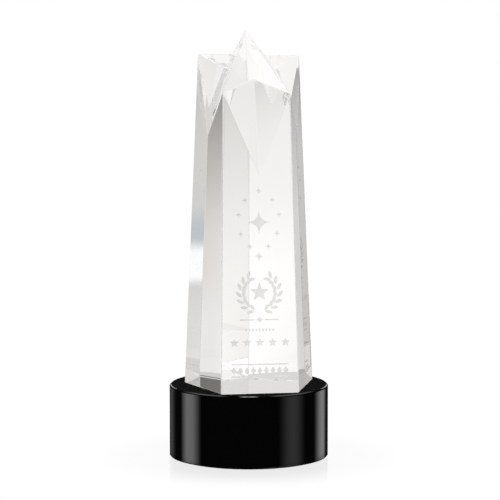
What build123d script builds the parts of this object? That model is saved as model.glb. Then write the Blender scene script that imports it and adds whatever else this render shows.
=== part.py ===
from build123d import *
import math
import os

# Crystal star award: a five-sided tapered tower of solid optical crystal,
# bonded onto a round block of solid black crystal that stands on a felt disc.
#
# Frame: millimetres, +Z up, origin at the centre of the resting face under
# the felt.  The engraved front of the tower faces -Y.  The tower is ground and
# set by hand: its five faces differ by about a degree, and it stands a little
# to one side of the middle of the base.

# ---------------------------------------------------------------- dimensions
# black crystal base
BASE_R = 38.0
BASE_H = 34.6
BASE_TOP_CHAMFER = 0.8
BASE_FOOT_CHAMFER = 0.5

# felt disc under the base
FELT_T = 0.8
FELT_INSET = 2.5        # from the edge of the base

# clear adhesive between the tower's foot and the base
BOND_T = 0.15
BOND_INSET = 0.8        # how far the film stops short of the arris round the foot
BOND_CORNER_R = 2.5

# crystal tower, tapering upward.  One row for each side face, from the front
# and round past +X: heading of the face from the front (degrees), lean towards
# the axis (degrees), distance from the axis at the foot
SIDE_FACES = [
    (0.0, 2.80, 26.57),
    (70.56, 2.20, 26.30),
    (142.89, 2.35, 26.21),
    (214.83, 2.46, 26.42),
    (288.17, 1.64, 26.04),
]
SIDES = len(SIDE_FACES)
TOWER_X, TOWER_Y = 0.72, -4.08   # the tower's axis on the base

# slanted star face on top
STAR_AXIS_Z = 188.43    # height on the tower's axis, above the base's underside
STAR_SLANT_DEG = 31.74  # slope, falling towards the front
STAR_TURN_DEG = 2.57    # the downhill direction, from the front towards +X
# the star's inner corners in plan, one behind each side face: angle from the
# front (degrees), distance from the tower's axis
INNER_CORNERS = [(-2.3, 10.24), (73.9, 11.43), (130.5, 10.04), (228.8, 10.59), (289.7, 12.13)]
# V-grooves that turn the pentagon into a star, one in each side face: height
# of the lowest point above the base's underside, and how far that point stands
# from the middle of the face towards its later edge (share of the half width)
GROOVES = [(137.4, 0.048), (155.1, 0.084), (165.8, -0.22), (165.8, 0.22), (155.5, -0.045)]

# polished arrises on the tower (leg length on each face)
ARRIS_SIDE = 0.35
ARRIS_STAR = 0.28
ARRIS_FOOT = 0.45
# bars that cut the arrises
BAR_OVERRUN = 2.0       # past the end of an edge
BAR_WIDTH, BAR_THICKNESS = 6.0, 1.6

# sand-blasted engraving on the front face; positions are millimetres to the
# right of the face's middle line and up the face from the foot
ETCH_DEPTH = 0.25
ETCH_PROUD = 0.4        # how far the cutters stand out of the face
SPARKLE_PULL = 0.08     # share of the half size; smaller gives hollower sides
SPARKLES = [            # right, up, half width, half height
    (0.0, 81.0, 5.3, 5.3),
    (0.0, 95.8, 1.5, 1.7),
    (-6.4, 91.4, 1.7, 1.5), (6.4, 91.4, 1.7, 1.5),
    (-9.6, 84.6, 1.4, 1.5), (9.6, 84.6, 1.4, 1.5),
    (-8.6, 75.6, 1.4, 1.5), (8.6, 75.6, 1.4, 1.5),
    (-4.4, 69.6, 1.4, 1.4), (4.4, 69.6, 1.4, 1.4),
    (0.0, 65.0, 2.1, 2.1),
]
STAR_INNER_RATIO = 0.42 # inner to outer radius of the engraved five-pointed stars

LAUREL_UP, LAUREL_R = 47.6, 8.4             # centre and radius of the wreath
LAUREL_STAR_RAISE, LAUREL_STAR_R = 0.4, 4.6
LAUREL_PAIRS = 7                            # pairs of leaves on each branch
LAUREL_START_DEG, LAUREL_STEP_DEG = -76, 20.5
LEAF_KINDS = [(58, 3.9), (122, 3.5)]        # turn from the radius (degrees), length
LEAF_WIDTH = 1.5
LEAF_GAP = 0.45                             # from the branch line to the leaf

LINE_H = 0.5                                # height of every engraved line
RULE_UP, RULE_START, RULE_END = 35.0, 2.4, 9.4
RULE_DIAMOND = (1.5, 1.2)                   # half width, half height
ROW_DIAMONDS = 9
BEADS_UP, BEADS_PITCH, BEAD = 30.2, 1.6, (0.55, 0.75)
STARS_UP, STARS_PITCH, STARS_COUNT, STARS_R = 24.2, 6.1, 5, 2.15
FRIEZE_UP, FRIEZE_PITCH, LOZENGE = 11.0, 3.1, (1.15, 1.7)
FRIEZE_RULE_OFFSET, FRIEZE_HALF_WIDTH = 2.9, 13.6

# levels
z_base = FELT_T
z_top = z_base + BASE_H
z_foot = z_top + BOND_T


# ---------------------------------------------------------------- tower points
# Side edge i lies between side faces i - 1 and i.  Points are kept relative
# to the tower's axis, and on_tower moves them to the object's frame.
star_slope = math.tan(math.radians(STAR_SLANT_DEG))
downhill = math.radians(STAR_TURN_DEG)
star_normal = Vector(
    star_slope * math.sin(downhill), -star_slope * math.cos(downhill), 1
).normalized()


def heading(deg):
    """Unit plan vector at an angle from the front (-Y), positive towards +X."""
    angle = math.radians(deg)
    return Vector(math.sin(angle), -math.cos(angle), 0)


def on_tower(point):
    """From the tower's own axis to the object's frame."""
    return Vector(point.X + TOWER_X, point.Y + TOWER_Y, point.Z)


def star_z(point):
    """Height of the star face over a plan point."""
    rise = point.Y * math.cos(downhill) - point.X * math.sin(downhill)
    return z_base + STAR_AXIS_Z + star_slope * rise


def edge_point(i, z):
    """Point at height z on side edge i, where the planes of its two faces cross."""
    rows = []
    for deg, lean, distance in (SIDE_FACES[i - 1], SIDE_FACES[i]):
        out = heading(deg)
        reach = distance - math.tan(math.radians(lean)) * (z - z_foot)
        rows.append((out.X, out.Y, reach))
    (x1, y1, reach1), (x2, y2, reach2) = rows
    det = x1 * y2 - y1 * x2
    return Vector((reach1 * y2 - y1 * reach2) / det, (x1 * reach2 - reach1 * x2) / det, z)


def star_tip(i):
    """Where side edge i meets the star face, by repeated substitution."""
    z = z_base + STAR_AXIS_Z
    for _ in range(60):
        z = star_z(edge_point(i, z))
    return edge_point(i, z)


def inner_corner(deg, distance):
    point = heading(deg) * distance
    return Vector(point.X, point.Y, star_z(point))


def groove_point(i, height, share):
    """Lowest point of the groove in side face i."""
    start = edge_point(i, height + z_base)
    end = edge_point((i + 1) % SIDES, height + z_base)
    return (start + end) * 0.5 + (end - start) * (0.5 * share)


def face_normal(p, q, r, outward):
    """Unit normal of the plane through three points, on the side of a hint vector."""
    normal = (q - p).cross(r - p).normalized()
    return normal if normal.dot(outward) > 0 else normal * -1


foot = [edge_point(i, z_foot) for i in range(SIDES)]
tips = [star_tip(i) for i in range(SIDES)]
inner = [inner_corner(*row) for row in INNER_CORNERS]
grooves = [groove_point(i, *row) for i, row in enumerate(GROOVES)]
outward = [heading(deg) for deg, _, _ in SIDE_FACES]
side_normals = [
    face_normal(foot[i], foot[(i + 1) % SIDES], grooves[i], outward[i]) for i in range(SIDES)
]


# ---------------------------------------------------------------- tower
def polygon(points):
    return Face(Wire.make_polygon([on_tower(p) for p in points], close=True))


def tower_blank():
    """The tower with sharp edges, closed from flat faces."""
    faces = [polygon(foot)]
    outline = []
    for i in range(SIDES):
        j = (i + 1) % SIDES
        outline += [tips[i], inner[i]]
        faces.append(polygon([foot[i], foot[j], tips[j], grooves[i], tips[i]]))
        faces.append(polygon([tips[i], grooves[i], inner[i]]))
        faces.append(polygon([grooves[i], tips[j], inner[i]]))
    faces.append(polygon(outline))
    blank = Solid(Shell(faces))
    # turn the faces round if the shell came out inside out
    if blank.volume < 0:
        blank = Solid(Shell([-face for face in faces]))
    return blank


def arris_cutter(start, end, normal1, normal2, leg, end_overrun=BAR_OVERRUN):
    """A bar that planes off the edge start-end between faces of two outward normals."""
    along = (end - start).normalized()
    mid = (normal1 + normal2).normalized()
    into_face = normal1.cross(along).normalized()
    depth = abs(into_face.dot(mid)) * leg
    origin = start - along * BAR_OVERRUN - mid * depth
    plane = Plane(origin=on_tower(origin), x_dir=along, z_dir=mid)
    length = (end - start).length + BAR_OVERRUN + end_overrun
    box = Solid.make_box(length, BAR_WIDTH, BAR_THICKNESS, plane)
    return box.translate(plane.y_dir * (-BAR_WIDTH / 2))


def arris_cutters():
    cutters = [
        arris_cutter(foot[i], tips[i], side_normals[i - 1], side_normals[i], ARRIS_SIDE)
        for i in range(SIDES)
    ]
    down = Vector(0, 0, -1)
    for i in range(SIDES):
        j = (i + 1) % SIDES
        cutters.append(arris_cutter(foot[i], foot[j], side_normals[i], down, ARRIS_FOOT))
        for tip in (tips[i], tips[j]):
            facet_normal = face_normal(tip, grooves[i], inner[i], outward[i])
            # the bar ends at the inner corner, short of the next point of the star
            cutters.append(
                arris_cutter(tip, inner[i], facet_normal, star_normal, ARRIS_STAR, end_overrun=0.0)
            )
    return cutters


# ---------------------------------------------------------------- engraving
# Drawn on the front face: u to the right, v up the face from the foot.
front = Plane(
    origin=on_tower((foot[0] + foot[1]) * 0.5), x_dir=Vector(1, 0, 0), z_dir=side_normals[0]
)


def place(u, v):
    """Point just outside the front face, where the cutters start."""
    return front.from_local_coords(Vector(u, v, ETCH_PROUD))


def etch(wire):
    """A prism from just outside the front face to the etch depth."""
    return Solid.extrude(Face(wire), front.z_dir * -(ETCH_PROUD + ETCH_DEPTH))


def etch_polygon(points):
    return etch(Wire.make_polygon([place(u, v) for u, v in points], close=True))


def arc(start, via, end):
    return Edge.make_three_point_arc(place(*start), place(*via), place(*end))


def sparkle(u, v, half_w, half_h):
    """Four-pointed star with hollow sides."""
    points = [(0, 1), (1, 0), (0, -1), (-1, 0)]
    edges = []
    for start, end in zip(points, points[1:] + points[:1]):
        pull = ((start[0] + end[0]) * SPARKLE_PULL, (start[1] + end[1]) * SPARKLE_PULL)
        controls = [place(u + x * half_w, v + y * half_h) for x, y in (start, pull, end)]
        edges.append(Edge.make_bezier(*controls))
    return etch(Wire(edges))


def diamond(u, v, half_w, half_h):
    return etch_polygon([(u, v + half_h), (u + half_w, v), (u, v - half_h), (u - half_w, v)])


def five_star(u, v, radius):
    points = []
    for i in range(10):
        angle = math.radians(90 + 36 * i)
        reach = radius if i % 2 == 0 else radius * STAR_INNER_RATIO
        points.append((u + reach * math.cos(angle), v + reach * math.sin(angle)))
    return etch_polygon(points)


def line(u0, u1, v):
    """A level line with round ends."""
    r = LINE_H / 2
    return etch(Wire([
        Edge.make_line(place(u0 + r, v + r), place(u1 - r, v + r)),
        arc((u1 - r, v + r), (u1, v), (u1 - r, v - r)),
        Edge.make_line(place(u1 - r, v - r), place(u0 + r, v - r)),
        arc((u0 + r, v - r), (u0, v), (u0 + r, v + r)),
    ]))


def leaf(u, v, deg, length):
    """A pointed leaf that starts at (u, v) and grows along deg."""
    du, dv = math.cos(math.radians(deg)), math.sin(math.radians(deg))
    mid_u, mid_v = u + du * length / 2, v + dv * length / 2
    side_u, side_v = -dv * LEAF_WIDTH / 2, du * LEAF_WIDTH / 2
    root, tip = (u, v), (u + du * length, v + dv * length)
    return etch(Wire([
        arc(root, (mid_u + side_u, mid_v + side_v), tip),
        arc(tip, (mid_u - side_u, mid_v - side_v), root),
    ]))


def laurel():
    """Two mirrored branches of paired leaves, the right one first."""
    leaves = []
    for side in (1, -1):
        for i in range(LAUREL_PAIRS):
            deg = LAUREL_START_DEG + i * LAUREL_STEP_DEG
            angle = math.radians(deg)
            for turn, length in LEAF_KINDS:
                grow_deg = deg + turn
                grow = math.radians(grow_deg)
                u = LAUREL_R * math.cos(angle) + LEAF_GAP * math.cos(grow)
                v = LAUREL_UP + LAUREL_R * math.sin(angle) + LEAF_GAP * math.sin(grow)
                leaf_deg = grow_deg if side > 0 else 180 - grow_deg
                leaves.append(leaf(side * u, v, leaf_deg, length))
    return leaves


def centred(count, pitch):
    """Evenly spaced places about the middle line, for an odd count."""
    return [(i - count // 2) * pitch for i in range(count)]


def diamond_row(v, pitch, size):
    return [diamond(u, v, *size) for u in centred(ROW_DIAMONDS, pitch)]


def engraving():
    # a large sparkle with a ring of small ones above the wreath
    art = [sparkle(*row) for row in SPARKLES]
    # laurel branches round a five-pointed star
    art.append(five_star(0, LAUREL_UP + LAUREL_STAR_RAISE, LAUREL_STAR_R))
    art += laurel()
    # rule with a diamond in its gap
    art += [line(-RULE_END, -RULE_START, RULE_UP), line(RULE_START, RULE_END, RULE_UP)]
    art.append(diamond(0, RULE_UP, *RULE_DIAMOND))
    # a line of beads, a line of stars, and a frieze of lozenges between two rules
    art += diamond_row(BEADS_UP, BEADS_PITCH, BEAD)
    art += [five_star(u, STARS_UP, STARS_R) for u in centred(STARS_COUNT, STARS_PITCH)]
    for offset in (FRIEZE_RULE_OFFSET, -FRIEZE_RULE_OFFSET):
        art.append(line(-FRIEZE_HALF_WIDTH, FRIEZE_HALF_WIDTH, FRIEZE_UP + offset))
    art += diamond_row(FRIEZE_UP, FRIEZE_PITCH, LOZENGE)
    return art


def crystal_tower():
    tower = tower_blank()
    for cutter in arris_cutters():
        tower = tower - cutter
    tower = tower - engraving()
    return tower.solids()[0]


# ---------------------------------------------------------------- other pieces
def black_base():
    base = Solid.make_cylinder(BASE_R, BASE_H, Plane.XY.offset(z_base))
    for size, end in ((BASE_TOP_CHAMFER, -1), (BASE_FOOT_CHAMFER, 0)):
        rim = base.edges().filter_by(GeomType.CIRCLE).sort_by(Axis.Z)[end]
        base = base.chamfer(size, None, [rim])
    return base


def adhesive_film():
    """A thin pentagon with round corners, inside the tower's foot."""
    # a corner of a regular pentagon moves in by more than its sides do
    corner_inset = (BOND_INSET + ARRIS_FOOT) / math.cos(math.pi / SIDES)
    points = []
    for point in foot:
        corner = Vector(point.X, point.Y, 0)
        moved = corner - corner.normalized() * corner_inset
        points.append(on_tower(Vector(moved.X, moved.Y, z_top)))
    film = Solid.extrude(Face(Wire.make_polygon(points, close=True)), Vector(0, 0, BOND_T))
    return film.fillet(BOND_CORNER_R, film.edges().filter_by(Axis.Z))


def felt_pad():
    return Solid.make_cylinder(BASE_R - FELT_INSET, FELT_T, Plane.XY)


os.makedirs("parts", exist_ok=True)
for build in (crystal_tower, black_base, adhesive_film, felt_pad):
    export_step(build(), f"parts/{build.__name__}.step")
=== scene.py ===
"""Crystal star award: a clear engraved tower glued to a black base with a felt pad, in a studio.

Metres, +Z up, front towards -Y.  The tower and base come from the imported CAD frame; the script
adds their materials, a detailed adhesive film and felt pad, and the table, light and camera.
"""
import math
import random

import bmesh
import bpy
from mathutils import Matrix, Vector, noise


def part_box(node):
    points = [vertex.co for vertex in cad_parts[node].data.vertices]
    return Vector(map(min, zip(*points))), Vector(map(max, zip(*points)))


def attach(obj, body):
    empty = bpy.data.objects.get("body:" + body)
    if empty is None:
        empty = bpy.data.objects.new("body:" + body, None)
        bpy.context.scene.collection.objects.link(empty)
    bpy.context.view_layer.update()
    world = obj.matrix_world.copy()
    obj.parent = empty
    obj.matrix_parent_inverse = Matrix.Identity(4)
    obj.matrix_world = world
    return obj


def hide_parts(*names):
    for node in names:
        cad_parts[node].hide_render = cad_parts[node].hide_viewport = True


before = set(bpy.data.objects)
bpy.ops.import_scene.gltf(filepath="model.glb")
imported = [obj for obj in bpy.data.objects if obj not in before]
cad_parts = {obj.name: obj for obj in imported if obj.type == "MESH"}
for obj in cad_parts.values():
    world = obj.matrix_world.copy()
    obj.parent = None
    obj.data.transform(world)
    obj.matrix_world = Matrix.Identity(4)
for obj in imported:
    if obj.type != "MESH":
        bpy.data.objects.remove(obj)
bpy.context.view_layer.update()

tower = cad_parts["crystal_tower"]
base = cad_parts["black_base"]
base_low, base_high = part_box("black_base")
film_low, film_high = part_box("adhesive_film")
felt_low, felt_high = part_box("felt_pad")

BASE_RADIUS = (base_high.x - base_low.x) / 2
BASE_CREST = 0.0004           # height of the rim's crest, which keeps its glint

CRYSTAL_IOR = 1.50
ETCH_DEPTH = (0.00003, 0.0005)    # nearest and deepest engraved surface behind the front face
ETCH_HALF_WIDTH = 0.0160
ETCH_Z = (0.0415, 0.1352)

FILM_GAP = 0.000018           # clearance to the tower above and the base below
FILM_BOTTOM = film_low.z + FILM_GAP
FILM_TOP = film_high.z - FILM_GAP
FILM_INSET = 0.0004           # from the corners of the CAD film
FILM_EDGE_INSET = 0.0002      # further inset of the whole edge
FILM_CORNER = 0.0035
FILM_STEP = 0.0012            # aimed spacing of points along the edge
FILM_WAIST = 0.00022          # how far the edge draws in at mid height
FILM_LIP = 0.00003            # inset of the bottom and top rings
FILM_WANDER = 0.00018

FELT_BOTTOM = felt_low.z
FELT_TOP = felt_high.z - 0.00002
FELT_RADIUS = (felt_high.x - felt_low.x) / 2 - 0.00035
FELT_SEGMENTS = 360
FIBRE_COUNT = 520
FIBRE_ROOT = 0.0002           # how far inside the felt's edge a fibre starts
FIBRE_END_GAP = 0.0001        # roots keep this far from the felt's top and bottom
FIBRE_CORNERS = (0, 2.094, 4.189)    # angles of the thread's three sides, radians

TABLE_RADIUS = 25.0
TABLE_Z = -0.00002


# ------------------------------------------------------------- node helpers
class Net:
    """Adds and links the nodes of a material or world.  A value may be a socket or a constant."""

    MIX_SOCKETS = {"RGBA": (6, 7, 2), "VECTOR": (4, 5, 1)}    # both inputs, then the output

    def __init__(self, tree):
        self.tree = tree
        tree.nodes.clear()

    def add(self, kind, **settings):
        node = self.tree.nodes.new(kind)
        for name, value in settings.items():
            setattr(node, name, value)
        return node

    def wire(self, kind, inputs, output=0, **settings):
        """Adds a node, fills its inputs and returns one of its outputs."""
        node = self.add(kind, **settings)
        for key, value in inputs.items():
            if isinstance(value, bpy.types.NodeSocket):
                self.tree.links.new(value, node.inputs[key])
            else:
                node.inputs[key].default_value = value
        return node.outputs[output]

    def finish(self, surface, kind="ShaderNodeOutputMaterial"):
        self.tree.links.new(surface, self.add(kind).inputs["Surface"])

    def coordinates(self, output="Object"):
        return self.add("ShaderNodeTexCoord").outputs[output]

    def math(self, operation, *values):
        return self.wire("ShaderNodeMath", dict(enumerate(values)), operation=operation)

    def times(self, first, *others):
        for other in others:
            first = self.math("MULTIPLY", first, other)
        return first

    def under(self, value, limit):
        return self.math("LESS_THAN", value, limit)

    def over(self, value, limit):
        return self.math("GREATER_THAN", value, limit)

    def vector(self, operation, a, b, output=0):
        return self.wire("ShaderNodeVectorMath", {0: a, 1: b}, output, operation=operation)

    def dot(self, a, b):
        return self.vector("DOT_PRODUCT", a, b, output=1)

    def split(self, vector):
        self_node = self.add("ShaderNodeSeparateXYZ")
        self.tree.links.new(vector, self_node.inputs[0])
        return self_node.outputs

    def noise(self, vector, scale, detail, rough):
        inputs = {"Vector": vector, "Scale": scale, "Detail": detail, "Roughness": rough}
        return self.wire("ShaderNodeTexNoise", inputs, "Fac")

    def remap(self, value, span, to=(0.0, 1.0), smooth=False):
        return self.wire("ShaderNodeMapRange", dict(enumerate((value, *span, *to))),
                         interpolation_type="SMOOTHSTEP" if smooth else "LINEAR")

    def edge(self, value, start, end):
        """0 at start, 1 at end, smooth between; start may be the larger."""
        return self.remap(value, span=(start, end), smooth=True)

    def mix(self, factor, a, b, kind="RGBA"):
        """a where the factor is 0, b where it is 1."""
        first, second, output = self.MIX_SOCKETS[kind]
        inputs = {0: factor, first: a, second: b}
        return self.wire("ShaderNodeMix", inputs, output, data_type=kind)

    def mix_shader(self, factor, a, b):
        return self.wire("ShaderNodeMixShader", {0: factor, 1: a, 2: b})

    def bump(self, height, strength, distance, normal=None):
        inputs = {"Height": height, "Strength": strength, "Distance": distance}
        if normal is not None:
            inputs["Normal"] = normal
        return self.wire("ShaderNodeBump", inputs)


def new_material(name):
    material = bpy.data.materials.new(name)
    material.use_nodes = True
    return material, Net(material.node_tree)


def dress(obj, material):
    """Gives every slot of an object this material."""
    if not obj.material_slots:
        obj.data.materials.append(material)
    for slot in obj.material_slots:
        slot.material = material


def painted_reflection_glow(net, surface, colour, share):
    """Painted reflection: rays that come down through the crystal see this glow on a surface under
    the tower, where at that grazing angle the polished top and the adhesive would mirror the
    bright tent behind the award."""
    glow = net.wire("ShaderNodeEmission", {"Color": (*colour, 1.0)})
    through = net.add("ShaderNodeLightPath").outputs["Is Transmission Ray"]
    return net.mix_shader(net.times(through, share), surface, glow)


# ------------------------------------------------------------- mesh helpers
def bridge(shape, lower, upper):
    """Joins two closed rings of equal count with quads."""
    count = len(lower)
    for i in range(count):
        j = (i + 1) % count
        shape.faces.new((lower[i], lower[j], upper[j], upper[i]))


def to_object(shape, name, smooth=True):
    mesh = bpy.data.meshes.new(name)
    bmesh.ops.recalc_face_normals(shape, faces=shape.faces)
    shape.to_mesh(mesh)
    shape.free()
    if smooth:
        for face in mesh.polygons:
            face.use_smooth = True
    obj = bpy.data.objects.new(name, mesh)
    bpy.context.scene.collection.objects.link(obj)
    return obj


# ------------------------------------------------------------- optical crystal
def front_plane():
    """Point on, and outward normal of, the largest plane of the tower that looks to -Y."""
    planes = {}
    for face in tower.data.polygons:
        normal = face.normal
        if normal.y < -0.95:
            key = (round(normal.x, 3), round(normal.y, 3), round(normal.z, 3))
            sums = planes.setdefault(key, [0.0, Vector(), Vector()])
            sums[0] += face.area
            sums[1] += face.center * face.area
            sums[2] += normal * face.area
    area, centre, normal = max(planes.values(), key=lambda sums: sums[0])
    return centre / area, (normal / area).normalized()


def side_normals():
    """Outward normals of the five tall side faces, largest first."""
    sides = {}
    for face in tower.data.polygons:
        normal = face.normal
        if abs(normal.z) < 0.2 and face.area > 0:
            key = (round(normal.x, 2), round(normal.y, 2))
            sums = sides.setdefault(key, [0.0, Vector()])
            sums[0] += face.area
            sums[1] += normal * face.area
    tall = sorted(sides.values(), key=lambda sums: -sums[0])[:5]
    return [(normal / area).normalized() for area, normal in tall]


def etched_mask(net, place):
    """1 on surfaces that lie in the thin block of the engraving, 0 elsewhere."""
    point, normal = front_plane()
    x, _, z = net.split(place)
    depth = net.dot(net.vector("SUBTRACT", place, tuple(point)), tuple(normal))
    return net.times(net.under(depth, -ETCH_DEPTH[0]), net.over(depth, -ETCH_DEPTH[1]),
                     net.under(net.math("ABSOLUTE", x), ETCH_HALF_WIDTH),
                     net.under(z, ETCH_Z[1]), net.over(z, ETCH_Z[0]))


def satin_mask(net):
    """1 on the hair-thin facets that break the tall edges: upright, but none of the sides."""
    geometry = net.add("ShaderNodeNewGeometry").outputs
    facing = geometry["True Normal"]
    outward = net.math("SUBTRACT", 1.0, net.times(geometry["Backfacing"], 2.0))
    nearest, *others = [net.times(net.dot(facing, tuple(side)), outward)
                        for side in side_normals()]
    for other in others:
        nearest = net.math("MAXIMUM", nearest, other)
    level = net.math("ABSOLUTE", net.split(facing)[2])
    return net.times(net.under(nearest, 0.985), net.under(level, 0.15))


def polished_crystal(net, place):
    """Clear glass with a last trace of lapping, a breath of haze and ground satin edges."""
    swell = net.noise(place, scale=95.0, detail=1.0, rough=0.4)
    # every edge is broken by a hair-thin polished bevel, finer round the engraving
    radius = net.remap(net.split(place)[2], span=(0.136, 0.138), to=(0.00025, 0.00042))
    arris = net.wire("ShaderNodeBevel", {"Radius": radius}, samples=6)
    cloud = net.noise(place, scale=45.0, detail=1.0, rough=0.5)
    haze = net.remap(cloud, span=(0.45, 0.75), to=(0.0, 0.004))
    satin_roughness = net.times(satin_mask(net), 0.34)
    return net.wire("ShaderNodeBsdfGlass", {
        "IOR": CRYSTAL_IOR,
        "Roughness": net.math("ADD", haze, satin_roughness),
        "Color": (1.0, 1.0, 1.0, 1.0),
        "Normal": net.bump(swell, strength=0.03, distance=0.0002, normal=arris),
    }, distribution="GGX")


def blasted_crystal(net, place):
    """Sand-blasted surface: fine pits that scatter both ways."""
    grain = net.noise(place, scale=5200.0, detail=3.0, rough=0.7)
    mottle = net.noise(place, scale=900.0, detail=2.0, rough=0.5)
    height = net.math("ADD", net.times(grain, 0.7), net.times(mottle, 0.3))
    pits = net.bump(height, strength=0.35, distance=0.0001)
    frost = net.wire("ShaderNodeBsdfGlass", {
        "IOR": CRYSTAL_IOR,
        "Roughness": net.remap(grain, span=(0.3, 0.7), to=(0.42, 0.6)),
        "Normal": pits,
    }, distribution="GGX")
    powder = net.wire("ShaderNodeBsdfDiffuse", {
        "Color": net.mix(grain, (0.62, 0.62, 0.63, 1), (0.86, 0.86, 0.87, 1)),
        "Normal": pits,
    })
    return net.mix_shader(net.remap(mottle, span=(0.3, 0.7), to=(0.32, 0.46)), frost, powder)


def crystal_material():
    material, net = new_material("optical_crystal_polished")
    place = net.coordinates()
    net.finish(net.mix_shader(etched_mask(net, place), polished_crystal(net, place),
                              blasted_crystal(net, place)))
    return material


# ------------------------------------------------------------- black crystal base
def black_material():
    material, net = new_material("black_crystal_polished")
    place = net.coordinates()
    swell = net.noise(place, scale=60.0, detail=1.0, rough=0.4)
    fine = net.noise(place, scale=700.0, detail=3.0, rough=0.6)
    dark = net.mix(fine, (0.0006, 0.0006, 0.0007, 1), (0.0014, 0.0014, 0.0015, 1))
    # seen at a glance the flat top's reflection is turned down and a painted sheen, a lighter
    # base colour, stands in its place, and the rim keeps its glint only along its crest
    geometry = net.add("ShaderNodeNewGeometry").outputs
    up = net.split(geometry["Normal"])[2]
    glance = net.remap(net.split(geometry["Incoming"])[2], span=(0.2, 0.36), to=(1.0, 0.0),
                       smooth=True)
    painted_sheen_top = net.times(net.over(up, 0.95), glance)
    below_crest = net.under(net.split(place)[2], base_high.z - BASE_CREST)
    below = net.times(net.over(up, 0.2), below_crest, glance)
    dulled = net.times(net.math("MAXIMUM", painted_sheen_top, below), 0.5)
    surface = net.wire("ShaderNodeBsdfPrincipled", {
        # painted sheen: a lighter base colour on the flat top where it is seen at a glance
        "Base Color": net.mix(painted_sheen_top, dark, (0.011, 0.011, 0.011, 1)),
        "Roughness": net.remap(fine, span=(0.35, 0.75), to=(0.008, 0.03)),
        "IOR": 1.52,
        "Specular IOR Level": net.math("SUBTRACT", 0.5, dulled),
        "Normal": net.bump(swell, strength=0.05, distance=0.0002),
    })
    # rays coming down through the crystal see a painted reflection, a light grey glow, on the
    # black base
    net.finish(painted_reflection_glow(net, surface, colour=(0.74, 0.73, 0.71), share=0.92))
    return material


# ------------------------------------------------------------- adhesive film
def foot_outline(inset):
    """Corners of the CAD film seen from above, moved towards the centre, in order round it."""
    corners = {}
    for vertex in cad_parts["adhesive_film"].data.vertices:
        x, y = vertex.co.x, vertex.co.y
        corners[(round(x, 5), round(y, 5))] = (x, y)
    points = corners.values()
    centre = Vector((sum(p[0] for p in points), sum(p[1] for p in points))) / len(points)
    ring = sorted(points, key=lambda p: math.atan2(p[1] - centre.y, p[0] - centre.x))
    outline = []
    for point in ring:
        spoke = Vector(point) - centre
        outline.append(centre + spoke * (1 - inset / spoke.length))
    return outline


def soften(ring, radius, steps=7):
    """Rounds the corners of a closed outline with quadratic curves."""
    rounded = []
    for i, corner in enumerate(ring):
        before, after = ring[i - 1], ring[(i + 1) % len(ring)]
        start = corner + (before - corner).normalized() * radius
        end = corner + (after - corner).normalized() * radius
        for k in range(steps + 1):
            t = k / steps
            rounded.append(start * (1 - t) ** 2 + corner * (2 * t * (1 - t)) + end * t * t)
    return rounded


def subdivide(ring, step):
    """Adds even points along the longer sides of a closed outline."""
    points = []
    for i, start in enumerate(ring):
        end = ring[(i + 1) % len(ring)]
        parts = max(1, int((end - start).length / step))
        points += [start + (end - start) * (j / parts) for j in range(parts)]
    return points


def make_film():
    """Thin sheet with rounded corners, a slightly wandering edge and a drawn-in waist."""
    outline = subdivide(soften(foot_outline(FILM_INSET), FILM_CORNER), FILM_STEP)
    centre = sum(outline, Vector((0, 0))) / len(outline)
    shape = bmesh.new()
    rings = []
    for level in (0.0, 0.12, 0.5, 0.88, 1.0):    # share of the film's height
        lip = FILM_LIP if level in (0.0, 1.0) else 0
        pinch = FILM_WAIST * math.sin(math.pi * level) + lip
        z = FILM_BOTTOM + (FILM_TOP - FILM_BOTTOM) * level
        ring = []
        for point in outline:
            spoke = point - centre
            wander = FILM_WANDER * noise.noise(Vector((point.x * 210, point.y * 210, 3.0)))
            inset = pinch + wander + FILM_EDGE_INSET
            place = centre + spoke * (1 - inset / spoke.length)
            ring.append(shape.verts.new((place.x, place.y, z)))
        rings.append(ring)
    for lower, upper in zip(rings, rings[1:]):
        bridge(shape, lower, upper)
    for ring, z in ((rings[0], FILM_BOTTOM), (rings[-1], FILM_TOP)):
        middle = shape.verts.new((centre.x, centre.y, z))
        for i in range(len(ring)):
            shape.faces.new((ring[i], ring[(i + 1) % len(ring)], middle))
    return to_object(shape, "adhesive_film_cured")


def film_material():
    """Cured adhesive, clear with a slight haze."""
    material, net = new_material("cured_adhesive_hazy")
    place = net.coordinates()
    cloud = net.noise(place, scale=140.0, detail=3.0, rough=0.55)
    fine = net.noise(place, scale=900.0, detail=3.0, rough=0.6)
    ripple = net.noise(place, scale=260.0, detail=2.0, rough=0.5)
    surface = net.wire("ShaderNodeBsdfPrincipled", {
        "Base Color": net.mix(cloud, (0.86, 0.86, 0.85, 1), (0.93, 0.93, 0.92, 1)),
        "IOR": 1.49,
        "Roughness": net.remap(fine, span=(0.35, 0.75), to=(0.25, 0.5)),
        "Normal": net.bump(ripple, strength=0.25, distance=0.00004),
    })
    # rays coming down through the crystal see a painted reflection, a near-white glow, on the film
    net.finish(painted_reflection_glow(net, surface, colour=(0.99, 0.985, 0.975), share=0.93))
    return material


# ------------------------------------------------------------- felt pad
# Share of the radius and height, from the bottom centre round the cut edge to the top centre
FELT_PROFILE = [
    (0.0, FELT_BOTTOM), (0.35, FELT_BOTTOM), (0.7, FELT_BOTTOM), (0.9, FELT_BOTTOM),
    (0.985, FELT_BOTTOM), (0.998, FELT_BOTTOM + 0.00012), (1.004, FELT_BOTTOM + 0.0003),
    (1.003, FELT_BOTTOM + 0.0005), (0.996, FELT_TOP - 0.00008), (0.982, FELT_TOP),
    (0.9, FELT_TOP), (0.7, FELT_TOP), (0.35, FELT_TOP), (0.0, FELT_TOP),
]


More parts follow.
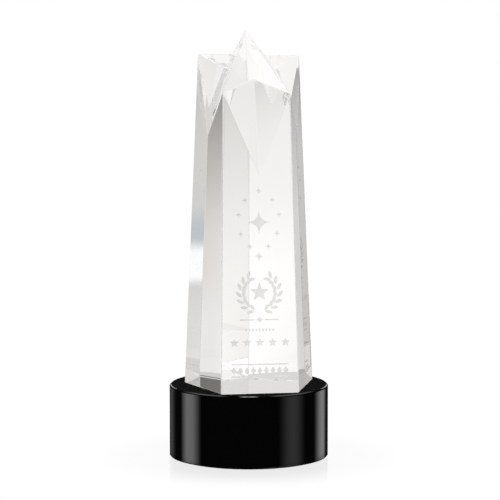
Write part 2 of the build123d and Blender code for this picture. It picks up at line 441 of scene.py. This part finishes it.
def felt_ring(shape, share, z):
    """One ring of the felt: frayed near the edge, dented on the top and outer underside."""
    ring = []
    for i in range(FELT_SEGMENTS):
        angle = 2 * math.pi * i / FELT_SEGMENTS
        across, along = math.cos(angle), math.sin(angle)
        spot = Vector((across * FELT_RADIUS, along * FELT_RADIUS, z))
        radius = FELT_RADIUS * share
        if share > 0.95:
            radius += 0.00016 * noise.noise(spot * 1500) + 0.00012 * noise.noise(spot * 420)
        dent = abs(noise.noise(spot * 900))
        shift = 0
        if z >= FELT_TOP:
            shift = -0.00006 * dent
        elif 0.5 < share < 0.99:
            shift = 0.00005 * dent
        height = max(FELT_BOTTOM, min(FELT_TOP, z + shift))
        ring.append(shape.verts.new((across * radius, along * radius, height)))
    return ring


def make_felt():
    """Pressed felt disc: soft uneven skin and a die-cut edge that bulges and frays."""
    shape = bmesh.new()
    rings = []
    for share, z in FELT_PROFILE:
        if share == 0.0:
            rings.append([shape.verts.new((0, 0, z))])
        else:
            rings.append(felt_ring(shape, share, z))
    for lower, upper in zip(rings, rings[1:]):
        if len(lower) == 1:
            for i in range(FELT_SEGMENTS):
                shape.faces.new((lower[0], upper[i], upper[(i + 1) % FELT_SEGMENTS]))
        elif len(upper) == 1:
            for i in range(FELT_SEGMENTS):
                shape.faces.new((upper[0], lower[(i + 1) % FELT_SEGMENTS], lower[i]))
        else:
            bridge(shape, lower, upper)
    return to_object(shape, "felt_pad_pressed")


def make_fibres():
    """Loose fibres: bent, tapering three-sided threads that lean out of the felt's cut edge."""
    draw = random.Random(5).uniform
    root_radius = FELT_RADIUS - FIBRE_ROOT
    shape = bmesh.new()
    for _ in range(FIBRE_COUNT):
        angle = draw(0, 2 * math.pi)
        z = draw(FELT_BOTTOM + FIBRE_END_GAP, FELT_TOP - FIBRE_END_GAP)
        root = Vector((math.cos(angle) * root_radius, math.sin(angle) * root_radius, z))
        outward = Vector((math.cos(angle), math.sin(angle), 0))
        side = Vector((-math.sin(angle), math.cos(angle), 0))
        lean = outward * draw(0.2, 0.8) + side * draw(-1, 1) + Vector((0, 0, draw(-0.25, 0.25)))
        lean.normalize()
        bend = side * draw(-0.5, 0.5) - outward * draw(0.1, 0.5)
        length = draw(0.0004, 0.0010)
        radius = draw(0.000008, 0.000014)
        level = lean.cross(Vector((0, 0, 1))).normalized()
        upright = lean.cross(level).normalized()
        previous = None
        for j in range(5):
            t = j / 4
            place = root + lean * (length * t) + bend * (length * 0.6 * t * t)
            place.z = max(FELT_BOTTOM + radius, min(FELT_TOP - radius, place.z))
            ring = []
            for corner in FIBRE_CORNERS:
                spoke = level * math.cos(corner) + upright * math.sin(corner)
                ring.append(shape.verts.new(place + spoke * radius * (1 - 0.6 * t)))
            if previous:
                bridge(shape, previous, ring)
            else:
                shape.faces.new(ring[::-1])
            previous = ring
        shape.faces.new(previous)
    return to_object(shape, "felt_pad_fibres")


def felt_material():
    material, net = new_material("black_felt_pressed")
    place = net.coordinates()
    stretched = net.vector("MULTIPLY", place, (1.0, 1.0, 0.45))
    fibre = net.noise(stretched, scale=2600.0, detail=4.0, rough=0.65)
    clump = net.noise(place, scale=380.0, detail=3.0, rough=0.55)
    height = net.math("ADD", net.times(fibre, 0.7), net.times(clump, 0.3))
    net.finish(net.wire("ShaderNodeBsdfPrincipled", {
        "Base Color": net.mix(net.times(fibre, clump), (0.006, 0.006, 0.007, 1),
                              (0.030, 0.030, 0.033, 1)),
        "Roughness": 0.95,
        "Sheen Weight": 0.5,
        "Sheen Roughness": 0.5,
        "Specular IOR Level": 0.15,
        "Normal": net.bump(height, strength=0.8, distance=0.00025),
    }))
    return material


# ------------------------------------------------------------- camera and render
def make_camera():
    data = bpy.data.cameras.new("studio_camera")
    camera = bpy.data.objects.new("studio_camera", data)
    scene.collection.objects.link(camera)
    scene.camera = camera
    data.sensor_width = 36.0
    data.lens = 258.23
    data.clip_start, data.clip_end = 0.05, 60.0
    camera.location = (-0.26246741, -1.67885868, 0.31924449)
    aim = Vector((0.15352843, 0.97984579, -0.12797685))
    camera.rotation_mode = "QUATERNION"
    camera.rotation_quaternion = aim.to_track_quat("-Z", "Y")


def set_render():
    """Plain colours and long light paths, for the many bounces inside the crystal."""
    scene.view_settings.view_transform = "Standard"
    scene.view_settings.look = "None"
    cycles = scene.cycles
    cycles.max_bounces = 64
    cycles.transmission_bounces = 64
    cycles.glossy_bounces = 24
    cycles.transparent_max_bounces = 24
    cycles.diffuse_bounces = 4
    cycles.caustics_reflective = True
    cycles.caustics_refractive = True
    cycles.sample_clamp_indirect = 0.0
    cycles.blur_glossy = 0.0
    cycles.use_denoising = True


# ------------------------------------------------------------- studio light
# The light comes from a dim tent round the table, softboxes and black flags.  Headings are
# degrees from +Y (behind the object), positive towards +X.  None leaves a reach open.
# Sky row: heading, width, lowest and highest elevation, softness of heading and elevation, colour.
# Table row: heading, width, nearest and farthest distance in metres, softness in degrees and in
# powers of e, colour.
SKY_TENT = (0.78, 0.77, 0.76)
SKY = [
    (90.0, 140, 3, 6, 10, 0.9, (-0.82, -0.82, -0.81)),
    (30.0, 15, 6, 60, 4.5, 4, (-0.66, -0.66, -0.66)),
    (-135.0, 90, 6, 20, 10, 4, (0.44, 0.43, 0.42)),
]
TABLE_TENT = (0.91, 0.90, 0.88)
TABLE = [
    (30.0, 24, 1.1, None, 7.2, 0.7, (-0.78, -0.78, -0.78)),
    (-135.0, 140, 0.6, None, 10, 0.3, (-0.56, -0.55, -0.54)),
    (-22.5, 24, 0.12, 0.6, 7.2, 0.4, (0.19, 0.19, 0.19)),
    (45.0, 15, None, 0.33, 4.5, 0.7, (0.32, 0.30, 0.29)),
    (-67.5, 90, 0.6, None, 10, 0.7, (-0.51, -0.50, -0.48)),
    (135.0, 90, 0.08, None, 10, 0.3, (-0.21, -0.21, -0.21)),
    (30.0, 8, 0.45, 1.1, 4, 0.3, (-0.17, -0.21, -0.23)),
    (-67.5, 60, None, 0.6, 10, 0.3, (-0.34, -0.34, -0.34)),
    (-165.0, 90, 0.6, None, 10, 0.3, (-0.37, -0.37, -0.35)),
    (0.0, 8, 0.8, 1.6, 4, 0.3, (-0.46, -0.45, -0.45)),
    (52.5, 15, 0.8, 1.6, 4.5, 0.3, (-0.22, -0.22, -0.22)),
    (101.0, 24, 0.335, 0.425, 7, 0.05, (0.46, 0.48, 0.50)),
    (101.0, 24, 0.43, 0.51, 7, 0.08, (-0.16, -0.10, -0.04)),
    (101.0, 24, None, 0.3, 7, 0.3, (0.11, 0.115, 0.12)),
    (13.0, 42, 0.45, None, 6, 0.5, (-0.005, -0.005, -0.005)),
    (43.5, 9, 0.6, None, 3, 0.4, (-0.09, -0.09, -0.09)),
    (-11.0, 14, 0.12, None, 5, 0.4, (0.035, 0.035, 0.035)),
    (-27.0, 10, 0.55, 1.2, 3, 0.3, (0.36, 0.37, 0.37)),
    (-34.0, 15, 0.12, 0.24, 4, 0.3, (0.18, 0.18, 0.18)),
    (-124.0, 30, 0.05, 0.15, 8, 0.3, (-0.08, -0.08, -0.08)),
]
# What polished outer surfaces mirror: the flags hide the tent from them
MIRROR_SKY_TENT = (0.03, 0.03, 0.03)
MIRROR_SKY = [
    (9.0, 70, 1, 22, 15, 1, (0.97, 0.97, 0.97)),
    (10.0, 110, 60, 78, 25, 6, (1.1, 1.1, 1.1)),
    (10.0, 360, 79, None, 20, 1.5, (6.0, 6.0, 6.0)),
    (87.0, 44, 25, 72, 14, 8, (1.6, 1.6, 1.6)),
    (-69.0, 44, 25, 72, 14, 8, (1.6, 1.6, 1.6)),
    (-76.0, 34, -5, 25, 12, 4, (2.0, 2.0, 2.0)),
]
MIRROR_TABLE_TENT = (0.012, 0.012, 0.013)
MIRROR_TABLE = [
    (-76.0, 26, 0.04, None, 10, 0.3, (2.1, 2.1, 2.1)),
    (-20.0, 20, 0.04, None, 10, 0.3, (0.15, 0.15, 0.15)),
    (122.0, 26, 0.04, None, 12, 0.3, (0.55, 0.55, 0.55)),
    (58.0, 24, 0.04, None, 10, 0.3, (1.25, 1.25, 1.25)),
]
WHITE = (1.0, 1.0, 1.0)


def degrees(net, radians):
    return net.times(radians, 57.29578)


def off_heading(net, azimuth, heading):
    """Degrees between an azimuth and a heading, either way round."""
    turn = net.math("SUBTRACT", azimuth, heading)
    return net.math("ABSOLUTE", net.math("WRAP", turn, 180.0, -180.0))


def rig(net, azimuth, reach, tent, rows, scale=float):
    """Tent colour plus every softbox and flag, never below black.

    reach is the elevation, or the log of the distance with math.log as the scale.
    """
    total = net.wire("ShaderNodeCombineXYZ", dict(enumerate(tent)))
    for heading, width, low, high, soft, reach_soft, colour in rows:
        aside = off_heading(net, azimuth, heading)
        mask = net.edge(aside, width / 2 + soft, width / 2 - soft)
        if low is not None:
            limit = scale(low)
            mask = net.times(mask, net.edge(reach, limit - reach_soft, limit + reach_soft))
        if high is not None:
            limit = scale(high)
            mask = net.times(mask, net.edge(reach, limit + reach_soft, limit - reach_soft))
        light = net.wire("ShaderNodeVectorMath", {0: colour, "Scale": mask}, operation="SCALE")
        total = net.vector("ADD", total, light)
    return net.vector("MAXIMUM", total, (0.0, 0.0, 0.0))


def choose_light(net, path, seen, mirrored, deepest):
    """White to the camera, mirrored to rays off an outer surface and seen to all others."""
    first = net.under(path["Ray Depth"], deepest)
    outer = net.times(first, net.math("SUBTRACT", 1.0, path["Is Transmission Ray"]))
    light = net.mix(net.times(path["Is Glossy Ray"], outer), seen, mirrored, "VECTOR")
    return net.mix(path["Is Camera Ray"], light, WHITE, "VECTOR")


def make_world():
    world = bpy.data.worlds.new("studio_world")
    scene.world = world
    world.use_nodes = True
    net = Net(world.node_tree)
    x, y, z = net.split(net.coordinates("Generated"))
    azimuth = degrees(net, net.math("ARCTAN2", x, y))
    elevation = degrees(net, net.math("ARCSINE", z))
    path = net.add("ShaderNodeLightPath").outputs
    seen = rig(net, azimuth, elevation, SKY_TENT, SKY)
    mirrored = rig(net, azimuth, elevation, MIRROR_SKY_TENT, MIRROR_SKY)
    # the sky counts one step more than the table
    light = choose_light(net, path, seen, mirrored, deepest=2.5)
    net.finish(net.wire("ShaderNodeBackground", {"Color": light}), "ShaderNodeOutputWorld")


def table_material():
    """Glows like a lit acrylic sheet and keeps a faint reflection near the base."""
    material, net = new_material("white_table")
    geometry = net.add("ShaderNodeNewGeometry").outputs
    place = geometry["Position"]
    x, y, _ = net.split(place)
    azimuth = degrees(net, net.math("ARCTAN2", x, y))
    distance = net.math("SQRT", net.math("ADD", net.times(x, x), net.times(y, y)))
    reach = net.math("LOGARITHM", net.math("MAXIMUM", distance, 0.001), math.e)
    path = net.add("ShaderNodeLightPath").outputs
    seen = rig(net, azimuth, reach, TABLE_TENT, TABLE, math.log)
    # a least brightness that grows with distance thins the flags, all but the one round
    # heading 31, so that low views find no black
    aside = off_heading(net, azimuth, 31.0)
    floor = net.remap(distance, span=(0.55, 1.2), to=(0.14, 0.64), smooth=True)
    floor = net.times(floor, net.edge(aside, 15.0, 24.0))
    least = net.wire("ShaderNodeCombineXYZ", dict.fromkeys(range(3), floor))
    seen = net.vector("MAXIMUM", seen, least)
    back_x, back_y, _ = net.split(geometry["Incoming"])
    ray_azimuth = degrees(net, net.math("ARCTAN2", net.times(back_x, -1.0),
                                        net.times(back_y, -1.0)))
    mirrored = rig(net, ray_azimuth, reach, MIRROR_TABLE_TENT, MIRROR_TABLE, math.log)
    light = choose_light(net, path, seen, mirrored, deepest=1.5)
    glow = net.wire("ShaderNodeEmission", {"Color": light})
    speck = net.noise(place, scale=900.0, detail=2.0, rough=0.5)
    gloss = net.wire("ShaderNodeBsdfGlossy", {
        "Roughness": 0.12,
        "Normal": net.bump(speck, strength=0.02, distance=0.0001),
    })
    share = net.remap(distance, span=(BASE_RADIUS, BASE_RADIUS + 0.045), to=(0.19, 0.0),
                      smooth=True)
    net.finish(net.mix_shader(net.times(share, path["Is Camera Ray"]), glow, gloss))
    return material


def make_table():
    """Round white table top."""
    shape = bmesh.new()
    bmesh.ops.create_circle(shape, cap_ends=True, segments=96, radius=TABLE_RADIUS)
    table = to_object(shape, "studio_table", smooth=False)
    table.location.z = TABLE_Z
    dress(table, table_material())
    return table


# ------------------------------------------------------------- assembly
scene = bpy.context.scene
dress(tower, crystal_material())
dress(base, black_material())

film = make_film()
dress(film, film_material())
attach(film, "root")
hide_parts("adhesive_film")

felt = make_felt()
fibres = make_fibres()
felt_skin = felt_material()
for piece in (felt, fibres):
    dress(piece, felt_skin)
    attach(piece, "root")
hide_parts("felt_pad")

make_camera()
set_render()
make_world()
make_table()
